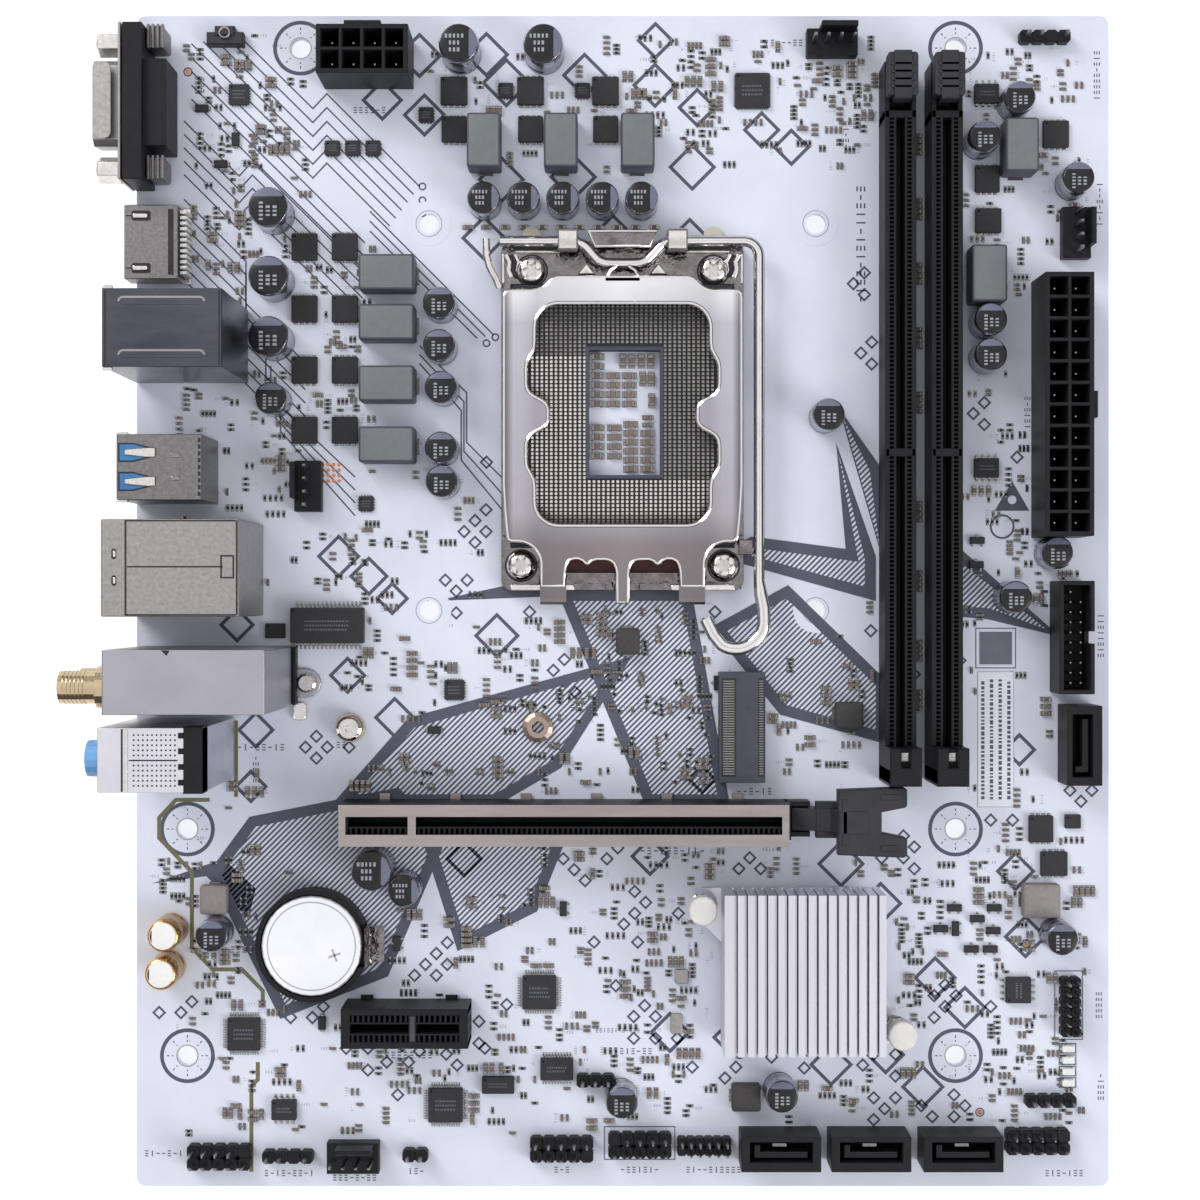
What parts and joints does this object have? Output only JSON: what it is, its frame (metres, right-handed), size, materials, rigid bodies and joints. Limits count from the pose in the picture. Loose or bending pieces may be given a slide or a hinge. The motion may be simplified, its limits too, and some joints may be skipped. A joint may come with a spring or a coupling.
{
  "type": "motherboard",
  "caption": "Micro-size computer motherboard with lever-locked processor socket, memory and card slots, chipset heatsink and a row of rear ports.",
  "frame": {"origin": "bottom centre of the box round the whole object, at the level of the solder peg tips under the board", "axes": "+X from the rear port edge inwards, +Y from the drive port edge towards the processor power edge, +Z out of the component face"},
  "size_m": [0.204, 0.236, 0.0386],
  "materials": {
    "board_white": "satin",
    "black_plastic": "fine texture",
    "grey_plastic": "fine texture",
    "brown_film": "thin film",
    "nickel_steel": "bright nickel",
    "dark_steel": "satin",
    "tin_steel": "tin plated",
    "gold_plate": "plated",
    "blue_plastic": "satin",
    "card_green": "satin",
    "pink_plastic": "satin",
    "green_plastic": "satin",
    "light_blue_plastic": "satin",
    "cell_steel": "polished",
    "package_green": "satin",
    "bright_aluminium": "anodised",
    "ivory_plastic": "satin"
  },
  "bodies": {
    "board": {"circuit_board": "board_white", "socket_body": "grey_plastic", "insulating_film": "brown_film", "ilm_frame": "nickel_steel", "socket_backplate": "dark_steel", "ilm_screw_1": "nickel_steel", "ilm_screw_2": "nickel_steel", "ilm_screw_3": "nickel_steel", "ilm_screw_4": "nickel_steel", "dimm_slot_a": "black_plastic", "dimm_slot_b": "black_plastic", "pcie_x16_slot": "black_plastic", "pcie_x16_shield": "tin_steel", "pcie_x1_slot": "black_plastic", "m2_socket": "grey_plastic", "m2_standoff": "gold_plate", "m2_screw": "tin_steel", "m2_nut": "gold_plate", "vga_housing": "black_plastic", "vga_shell": "tin_steel", "vga_jack_nut_1": "tin_steel", "vga_jack_nut_2": "tin_steel", "hdmi_shell": "tin_steel", "ps2_usb_shell": "tin_steel", "usb3_shell": "tin_steel", "usb3_insert": "blue_plastic", "lan_usb_shell": "tin_steel", "wifi_shield": "tin_steel", "wifi_card": "card_green", "wifi_screw": "tin_steel", "antenna_jack_lower": "gold_plate", "antenna_jack_upper": "gold_plate", "audio_housing": "tin_steel", "audio_barrel_pink": "pink_plastic", "audio_barrel_green": "green_plastic", "audio_barrel_blue": "light_blue_plastic", "eps_connector": "black_plastic", "atx_connector": "black_plastic", "usb3_header": "black_plastic", "sata_connector_1": "black_plastic", "sata_connector_2": "black_plastic", "sata_connector_3": "black_plastic", "sata_connector_4": "black_plastic", "pump_fan_header": "grey_plastic", "cpu_fan_header": "grey_plastic", "front_panel_header": "black_plastic", "battery_holder": "black_plastic", "chipset_package": "package_green", "chipset_heatsink": "bright_aluminium"},
    "lever": {"lever": "nickel_steel"},
    "load_plate": {"load_plate": "nickel_steel"},
    "memory_latch_a": {"dimm_latch_a": "grey_plastic"},
    "memory_latch_b": {"dimm_latch_b": "grey_plastic"},
    "card_latch": {"pcie_x16_latch": "grey_plastic"},
    "pin_1": {"push_pin_1": "ivory_plastic", "push_pin_spring_1": "nickel_steel"},
    "pin_2": {"push_pin_2": "ivory_plastic", "push_pin_spring_2": "nickel_steel"},
    "cell": {"coin_cell": "cell_steel"},
    "clip": {"battery_clip": "tin_steel"}
  },
  "joints": [
    {"name": "lever_turn", "type": "hinge", "parent": "board", "child": "lever", "pos_m": [0.0039, 0.0717, 0.0084], "axis": [-1, 0, 0], "range_deg": [0, 130]},
    {"name": "load_plate_swing", "type": "hinge", "parent": "board", "child": "load_plate", "pos_m": [0.0039, 0.0726, 0.00665], "axis": [-1, 0, 0], "range_deg": [0, 90]},
    {"name": "memory_latch_a_turn", "type": "hinge", "parent": "board", "child": "memory_latch_a", "pos_m": [0.0587, 0.1045, 0.0058], "axis": [-1, 0, 0], "range_deg": [0, 35]},
    {"name": "memory_latch_b_turn", "type": "hinge", "parent": "board", "child": "memory_latch_b", "pos_m": [0.0679, 0.1045, 0.0058], "axis": [-1, 0, 0], "range_deg": [0, 35]},
    {"name": "card_latch_turn", "type": "hinge", "parent": "board", "child": "card_latch", "pos_m": [0.0392, -0.0434, 0.0062], "axis": [0, 1, 0], "range_deg": [0, 12]},
    {"name": "pin_1_press", "type": "slide", "parent": "board", "child": "pin_1", "axis": [0, 0, -1], "range_m": [0, 0.001], "stiffness_N_per_m": 1000, "deforming": ["push_pin_spring_1"]},
    {"name": "pin_2_press", "type": "slide", "parent": "board", "child": "pin_2", "axis": [0, 0, -1], "range_m": [0, 0.001], "stiffness_N_per_m": 1000, "deforming": ["push_pin_spring_2"]},
    {"name": "cell_lift", "type": "slide", "parent": "board", "child": "cell", "axis": [0, 0, 1], "range_m": [0, 0.008]},
    {"name": "clip_flex", "type": "hinge", "parent": "board", "child": "clip", "pos_m": [-0.0465, -0.0688, 0.00545], "axis": [0, 1, 0], "range_deg": [0, 12], "stiffness_Nm_per_rad": 0.05}
  ],
  "couplings": [
    {"joint": "load_plate_swing", "follows": "lever_turn", "ratio": 0.69}
  ]
}
